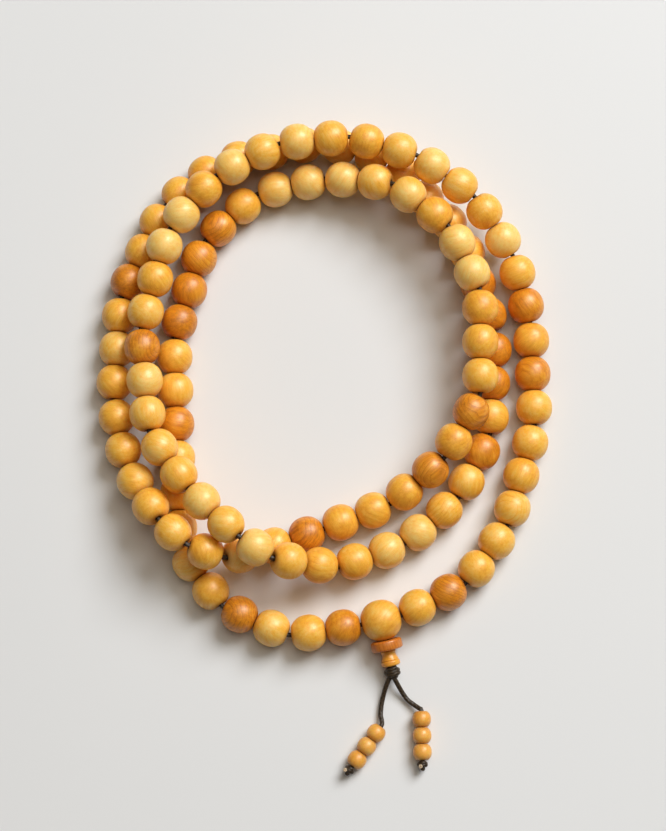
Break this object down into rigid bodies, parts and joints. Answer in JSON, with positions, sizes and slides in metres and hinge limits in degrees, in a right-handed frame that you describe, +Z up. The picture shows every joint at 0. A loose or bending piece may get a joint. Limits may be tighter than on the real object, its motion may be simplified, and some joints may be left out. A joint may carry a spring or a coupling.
{
  "type": "mala prayer beads",
  "caption": "Long strand of round turned wooden prayer beads on a dark cord, laid in three overlapping turns, with a guru bead, disc, tower bead and two short beaded tails.",
  "frame": {"origin": "centre of the footprint on the surface the strand lies on", "axes": "+Z up from the surface, +Y along the longest extent away from the guru bead and tails, +X to the viewer's right"},
  "size_m": [0.1275, 0.1828, 0.0237],
  "materials": {
    "boxwood_beads": "semi-gloss",
    "guru_wood": "semi-gloss",
    "red_wood": "gloss",
    "brown_wood": "gloss",
    "pale_wood": "satin",
    "waxed_cord": "waxed"
  },
  "bodies": {
    "strand": {"main_cord": "waxed_cord", "guru_bead": "guru_wood", "guru_knot": "waxed_cord"},
    "strand_beads_01": {"strand_beads_01": "boxwood_beads"},
    "strand_beads_02": {"strand_beads_02": "boxwood_beads"},
    "strand_beads_03": {"strand_beads_03": "boxwood_beads"},
    "strand_beads_04": {"strand_beads_04": "boxwood_beads"},
    "strand_beads_05": {"strand_beads_05": "boxwood_beads"},
    "strand_beads_06": {"strand_beads_06": "boxwood_beads"},
    "strand_beads_07": {"strand_beads_07": "boxwood_beads"},
    "strand_beads_08": {"strand_beads_08": "boxwood_beads"},
    "strand_beads_09": {"strand_beads_09": "boxwood_beads"},
    "strand_beads_10": {"strand_beads_10": "boxwood_beads"},
    "strand_beads_11": {"strand_beads_11": "boxwood_beads"},
    "strand_beads_12": {"strand_beads_12": "boxwood_beads"},
    "strand_beads_13": {"strand_beads_13": "boxwood_beads"},
    "strand_beads_14": {"strand_beads_14": "boxwood_beads"},
    "strand_beads_15": {"strand_beads_15": "boxwood_beads"},
    "strand_beads_16": {"strand_beads_16": "boxwood_beads"},
    "strand_beads_17": {"strand_beads_17": "boxwood_beads"},
    "strand_beads_18": {"strand_beads_18": "boxwood_beads"},
    "strand_beads_19": {"strand_beads_19": "boxwood_beads"},
    "strand_beads_20": {"strand_beads_20": "boxwood_beads"},
    "strand_beads_21": {"strand_beads_21": "boxwood_beads"},
    "strand_beads_22": {"strand_beads_22": "boxwood_beads"},
    "strand_beads_23": {"strand_beads_23": "boxwood_beads"},
    "strand_beads_24": {"strand_beads_24": "boxwood_beads"},
    "strand_beads_25": {"strand_beads_25": "boxwood_beads"},
    "strand_beads_26": {"strand_beads_26": "boxwood_beads"},
    "strand_beads_27": {"strand_beads_27": "boxwood_beads"},
    "strand_beads_28": {"strand_beads_28": "boxwood_beads"},
    "strand_beads_29": {"strand_beads_29": "boxwood_beads"},
    "strand_beads_30": {"strand_beads_30": "boxwood_beads"},
    "strand_beads_31": {"strand_beads_31": "boxwood_beads"},
    "strand_beads_32": {"strand_beads_32": "boxwood_beads"},
    "strand_beads_33": {"strand_beads_33": "boxwood_beads"},
    "strand_beads_34": {"strand_beads_34": "boxwood_beads"},
    "strand_beads_35": {"strand_beads_35": "boxwood_beads"},
    "strand_beads_36": {"strand_beads_36": "boxwood_beads"},
    "strand_beads_37": {"strand_beads_37": "boxwood_beads"},
    "strand_beads_38": {"strand_beads_38": "boxwood_beads"},
    "strand_beads_39": {"strand_beads_39": "boxwood_beads"},
    "strand_beads_40": {"strand_beads_40": "boxwood_beads"},
    "strand_beads_41": {"strand_beads_41": "boxwood_beads"},
    "strand_beads_42": {"strand_beads_42": "boxwood_beads"},
    "strand_beads_43": {"strand_beads_43": "boxwood_beads"},
    "strand_beads_44": {"strand_beads_44": "boxwood_beads"},
    "strand_beads_45": {"strand_beads_45": "boxwood_beads"},
    "strand_beads_46": {"strand_beads_46": "boxwood_beads"},
    "strand_beads_47": {"strand_beads_47": "boxwood_beads"},
    "strand_beads_48": {"strand_beads_48": "boxwood_beads"},
    "strand_beads_49": {"strand_beads_49": "boxwood_beads"},
    "guru_disc": {"guru_disc": "red_wood"},
    "tower_bead": {"tower_bead": "brown_wood"},
    "tail_left": {"tail_cord_left": "waxed_cord", "end_knot_left": "waxed_cord"},
    "tail_beads_left": {"tail_beads_left": "pale_wood"},
    "tail_right": {"tail_cord_right": "waxed_cord", "end_knot_right": "waxed_cord"},
    "tail_beads_right": {"tail_beads_right": "pale_wood"}
  },
  "joints": [
    {"name": "bead_spin_01", "type": "hinge", "parent": "strand", "child": "strand_beads_01", "pos_m": [0.03011, -0.04377, 0.00533], "axis": [0.8958, 0.4433, -0.0327], "continuous": true},
    {"name": "bead_spin_02", "type": "hinge", "parent": "strand", "child": "strand_beads_02", "pos_m": [0.04507, -0.03124, 0.005], "axis": [0.5934, 0.8049, 0], "continuous": true},
    {"name": "bead_spin_03", "type": "hinge", "parent": "strand", "child": "strand_beads_03", "pos_m": [0.05498, -0.0091, 0.005], "axis": [0.274, 0.9617, 0], "continuous": true},
    {"name": "bead_spin_04", "type": "hinge", "parent": "strand", "child": "strand_beads_04", "pos_m": [0.05861, 0.01968, 0.00504], "axis": [-0.0269, 0.9996, 0.0029], "continuous": true},
    {"name": "bead_spin_05", "type": "hinge", "parent": "strand", "child": "strand_beads_05", "pos_m": [0.05577, 0.04376, 0.00642], "axis": [-0.2481, 0.9591, 0.1361], "continuous": true},
    {"name": "bead_spin_06", "type": "hinge", "parent": "strand", "child": "strand_beads_06", "pos_m": [0.04786, 0.06125, 0.00996], "axis": [-0.5501, 0.8055, 0.2203], "continuous": true},
    {"name": "bead_spin_07", "type": "hinge", "parent": "strand", "child": "strand_beads_07", "pos_m": [0.03431, 0.07485, 0.01347], "axis": [-0.8148, 0.5642, 0.1333], "continuous": true},
    {"name": "bead_spin_08", "type": "hinge", "parent": "strand", "child": "strand_beads_08", "pos_m": [0.01668, 0.08311, 0.01489], "axis": [-0.9631, 0.2691, 0.0107], "continuous": true},
    {"name": "bead_spin_09", "type": "hinge", "parent": "strand", "child": "strand_beads_09", "pos_m": [-0.00276, 0.08478, 0.01501], "axis": [-0.9949, -0.101, 0.0008], "continuous": true},
    {"name": "bead_spin_10", "type": "hinge", "parent": "strand", "child": "strand_beads_10", "pos_m": [-0.02148, 0.07926, 0.0146], "axis": [-0.8895, -0.455, -0.0423], "continuous": true},
    {"name": "bead_spin_11", "type": "hinge", "parent": "strand", "child": "strand_beads_11", "pos_m": [-0.03676, 0.06714, 0.01373], "axis": [-0.6457, -0.7623, -0.0446], "continuous": true},
    {"name": "bead_spin_12", "type": "hinge", "parent": "strand", "child": "strand_beads_12", "pos_m": [-0.04711, 0.04528, 0.01235], "axis": [-0.2636, -0.9625, -0.0634], "continuous": true},
    {"name": "bead_spin_13", "type": "hinge", "parent": "strand", "child": "strand_beads_13", "pos_m": [-0.04956, 0.01645, 0.01247], "axis": [0.0973, -0.9927, 0.0715], "continuous": true},
    {"name": "bead_spin_14", "type": "hinge", "parent": "strand", "child": "strand_beads_14", "pos_m": [-0.04233, -0.00651, 0.01481], "axis": [0.5723, -0.8103, 0.1261], "continuous": true},
    {"name": "bead_spin_15", "type": "hinge", "parent": "strand", "child": "strand_beads_15", "pos_m": [-0.02981, -0.02117, 0.01784], "axis": [0.7052, -0.6848, 0.1837], "continuous": true},
    {"name": "bead_spin_16", "type": "hinge", "parent": "strand", "child": "strand_beads_16", "pos_m": [-0.01846, -0.03077, 0.0187], "axis": [0.8272, -0.5291, -0.1889], "continuous": true},
    {"name": "bead_spin_17", "type": "hinge", "parent": "strand", "child": "strand_beads_17", "pos_m": [-0.00525, -0.03437, 0.01276], "axis": [0.8702, -0.0775, -0.4865], "continuous": true},
    {"name": "bead_spin_18", "type": "hinge", "parent": "strand", "child": "strand_beads_18", "pos_m": [0.01301, -0.03173, 0.0064], "axis": [0.9308, 0.3373, -0.141], "continuous": true},
    {"name": "bead_spin_19", "type": "hinge", "parent": "strand", "child": "strand_beads_19", "pos_m": [0.02983, -0.02194, 0.005], "axis": [0.7614, 0.6483, 0], "continuous": true},
    {"name": "bead_spin_20", "type": "hinge", "parent": "strand", "child": "strand_beads_20", "pos_m": [0.04192, -0.00662, 0.005], "axis": [0.4536, 0.8912, 0], "continuous": true},
    {"name": "bead_spin_21", "type": "hinge", "parent": "strand", "child": "strand_beads_21", "pos_m": [0.04727, 0.01702, 0.005], "axis": [0.0554, 0.9985, 0], "continuous": true},
    {"name": "bead_spin_22", "type": "hinge", "parent": "strand", "child": "strand_beads_22", "pos_m": [0.04356, 0.04573, 0.005], "axis": [-0.3071, 0.9517, 0], "continuous": true},
    {"name": "bead_spin_23", "type": "hinge", "parent": "strand", "child": "strand_beads_23", "pos_m": [0.02896, 0.07066, 0.005], "axis": [-0.6797, 0.7335, 0], "continuous": true},
    {"name": "bead_spin_24", "type": "hinge", "parent": "strand", "child": "strand_beads_24", "pos_m": [0.00913, 0.08451, 0.005], "axis": [-0.9579, 0.287, 0], "continuous": true},
    {"name": "bead_spin_25", "type": "hinge", "parent": "strand", "child": "strand_beads_25", "pos_m": [-0.01506, 0.08427, 0.005], "axis": [-0.9776, -0.2106, 0], "continuous": true},
    {"name": "bead_spin_26", "type": "hinge", "parent": "strand", "child": "strand_beads_26", "pos_m": [-0.03735, 0.07481, 0.005], "axis": [-0.7759, -0.6309, 0], "continuous": true},
    {"name": "bead_spin_27", "type": "hinge", "parent": "strand", "child": "strand_beads_27", "pos_m": [-0.0512, 0.05495, 0.005], "axis": [-0.4093, -0.9124, 0], "continuous": true},
    {"name": "bead_spin_28", "type": "hinge", "parent": "strand", "child": "strand_beads_28", "pos_m": [-0.05808, 0.02683, 0.005], "axis": [-0.0583, -0.9983, 0], "continuous": true},
    {"name": "bead_spin_29", "type": "hinge", "parent": "strand", "child": "strand_beads_29", "pos_m": [-0.05682, 0.00259, 0.00585], "axis": [0.2146, -0.9729, 0.0857], "continuous": true},
    {"name": "bead_spin_30", "type": "hinge", "parent": "strand", "child": "strand_beads_30", "pos_m": [-0.04977, -0.01498, 0.01059], "axis": [0.4887, -0.7813, 0.3882], "continuous": true},
    {"name": "bead_spin_31", "type": "hinge", "parent": "strand", "child": "strand_beads_31", "pos_m": [-0.04106, -0.02619, 0.01495], "axis": [0.7426, -0.663, 0.0949], "continuous": true},
    {"name": "bead_spin_32", "type": "hinge", "parent": "strand", "child": "strand_beads_32", "pos_m": [-0.03222, -0.03134, 0.01405], "axis": [0.9158, -0.302, -0.2647], "continuous": true},
    {"name": "bead_spin_33", "type": "hinge", "parent": "strand", "child": "strand_beads_33", "pos_m": [-0.0229, -0.03177, 0.0095], "axis": [0.7919, 0.2229, -0.5685], "continuous": true},
    {"name": "bead_spin_34", "type": "hinge", "parent": "strand", "child": "strand_beads_34", "pos_m": [-0.00916, -0.02724, 0.00572], "axis": [0.9409, 0.3304, -0.0741], "continuous": true},
    {"name": "bead_spin_35", "type": "hinge", "parent": "strand", "child": "strand_beads_35", "pos_m": [0.0092, -0.02063, 0.00545], "axis": [0.9373, 0.3454, 0.0459], "continuous": true},
    {"name": "bead_spin_36", "type": "hinge", "parent": "strand", "child": "strand_beads_36", "pos_m": [0.02593, -0.0112, 0.00892], "axis": [0.7403, 0.6005, 0.3021], "continuous": true},
    {"name": "bead_spin_37", "type": "hinge", "parent": "strand", "child": "strand_beads_37", "pos_m": [0.03825, 0.00332, 0.01319], "axis": [0.4972, 0.8583, 0.1272], "continuous": true},
    {"name": "bead_spin_38", "type": "hinge", "parent": "strand", "child": "strand_beads_38", "pos_m": [0.04338, 0.0269, 0.01476], "axis": [0.0073, 0.9998, 0.0187], "continuous": true},
    {"name": "bead_spin_39", "type": "hinge", "parent": "strand", "child": "strand_beads_39", "pos_m": [0.03926, 0.05076, 0.01502], "axis": [-0.4227, 0.9063, -0.0011], "continuous": true},
    {"name": "bead_spin_40", "type": "hinge", "parent": "strand", "child": "strand_beads_40", "pos_m": [0.02736, 0.06621, 0.01419], "axis": [-0.7663, 0.6371, -0.0826], "continuous": true},
    {"name": "bead_spin_41", "type": "hinge", "parent": "strand", "child": "strand_beads_41", "pos_m": [0.00995, 0.07422, 0.01051], "axis": [-0.9482, 0.1512, -0.2793], "continuous": true},
    {"name": "bead_spin_42", "type": "hinge", "parent": "strand", "child": "strand_beads_42", "pos_m": [-0.00912, 0.07388, 0.00639], "axis": [-0.9732, -0.1852, -0.1363], "continuous": true},
    {"name": "bead_spin_43", "type": "hinge", "parent": "strand", "child": "strand_beads_43", "pos_m": [-0.02646, 0.06503, 0.005], "axis": [-0.7296, -0.6838, 0], "continuous": true},
    {"name": "bead_spin_44", "type": "hinge", "parent": "strand", "child": "strand_beads_44", "pos_m": [-0.038, 0.04378, 0.005], "axis": [-0.2785, -0.9604, 0], "continuous": true},
    {"name": "bead_spin_45", "type": "hinge", "parent": "strand", "child": "strand_beads_45", "pos_m": [-0.04137, 0.01021, 0.005], "axis": [0.0369, -0.9993, 0], "continuous": true},
    {"name": "bead_spin_46", "type": "hinge", "parent": "strand", "child": "strand_beads_46", "pos_m": [-0.04026, -0.01889, 0.005], "axis": [0.0407, -0.9992, 0], "continuous": true},
    {"name": "bead_spin_47", "type": "hinge", "parent": "strand", "child": "strand_beads_47", "pos_m": [-0.03391, -0.03735, 0.005], "axis": [0.5823, -0.813, 0], "continuous": true},
    {"name": "bead_spin_48", "type": "hinge", "parent": "strand", "child": "strand_beads_48", "pos_m": [-0.01871, -0.0496, 0.005], "axis": [0.9183, -0.3959, 0], "continuous": true},
    {"name": "bead_spin_49", "type": "hinge", "parent": "strand", "child": "strand_beads_49", "pos_m": [0.00064, -0.05212, 0.00533], "axis": [0.9885, 0.1477, 0.0326], "continuous": true},
    {"name": "disc_spin", "type": "hinge", "parent": "strand", "child": "guru_disc", "pos_m": [0.01734, -0.05609, 0.00462], "axis": [0.2225, -0.9637, -0.1478], "continuous": true},
    {"name": "tower_spin", "type": "hinge", "parent": "strand", "child": "tower_bead", "pos_m": [0.01816, -0.05963, 0.00408], "axis": [0.2225, -0.9637, -0.1478], "continuous": true},
    {"name": "tail_swing_left", "type": "hinge", "parent": "strand", "child": "tail_left", "pos_m": [0.01782, -0.06572, 0.00321], "axis": [0, 0, 1], "range_deg": [-45, 12]},
    {"name": "tail_bead_spin_left", "type": "hinge", "parent": "tail_left", "child": "tail_beads_left", "pos_m": [0.0144, -0.08, 0.0026], "axis": [-0.5878, -0.809, 0], "continuous": true},
    {"name": "tail_swing_right", "type": "hinge", "parent": "strand", "child": "tail_right", "pos_m": [0.01958, -0.06531, 0.00321], "axis": [0, 0, 1], "range_deg": [-12, 45]},
    {"name": "tail_bead_spin_right", "type": "hinge", "parent": "tail_right", "child": "tail_beads_right", "pos_m": [0.0269, -0.0762, 0.0026], "axis": [0.0175, -0.9998, 0], "continuous": true}
  ]
}
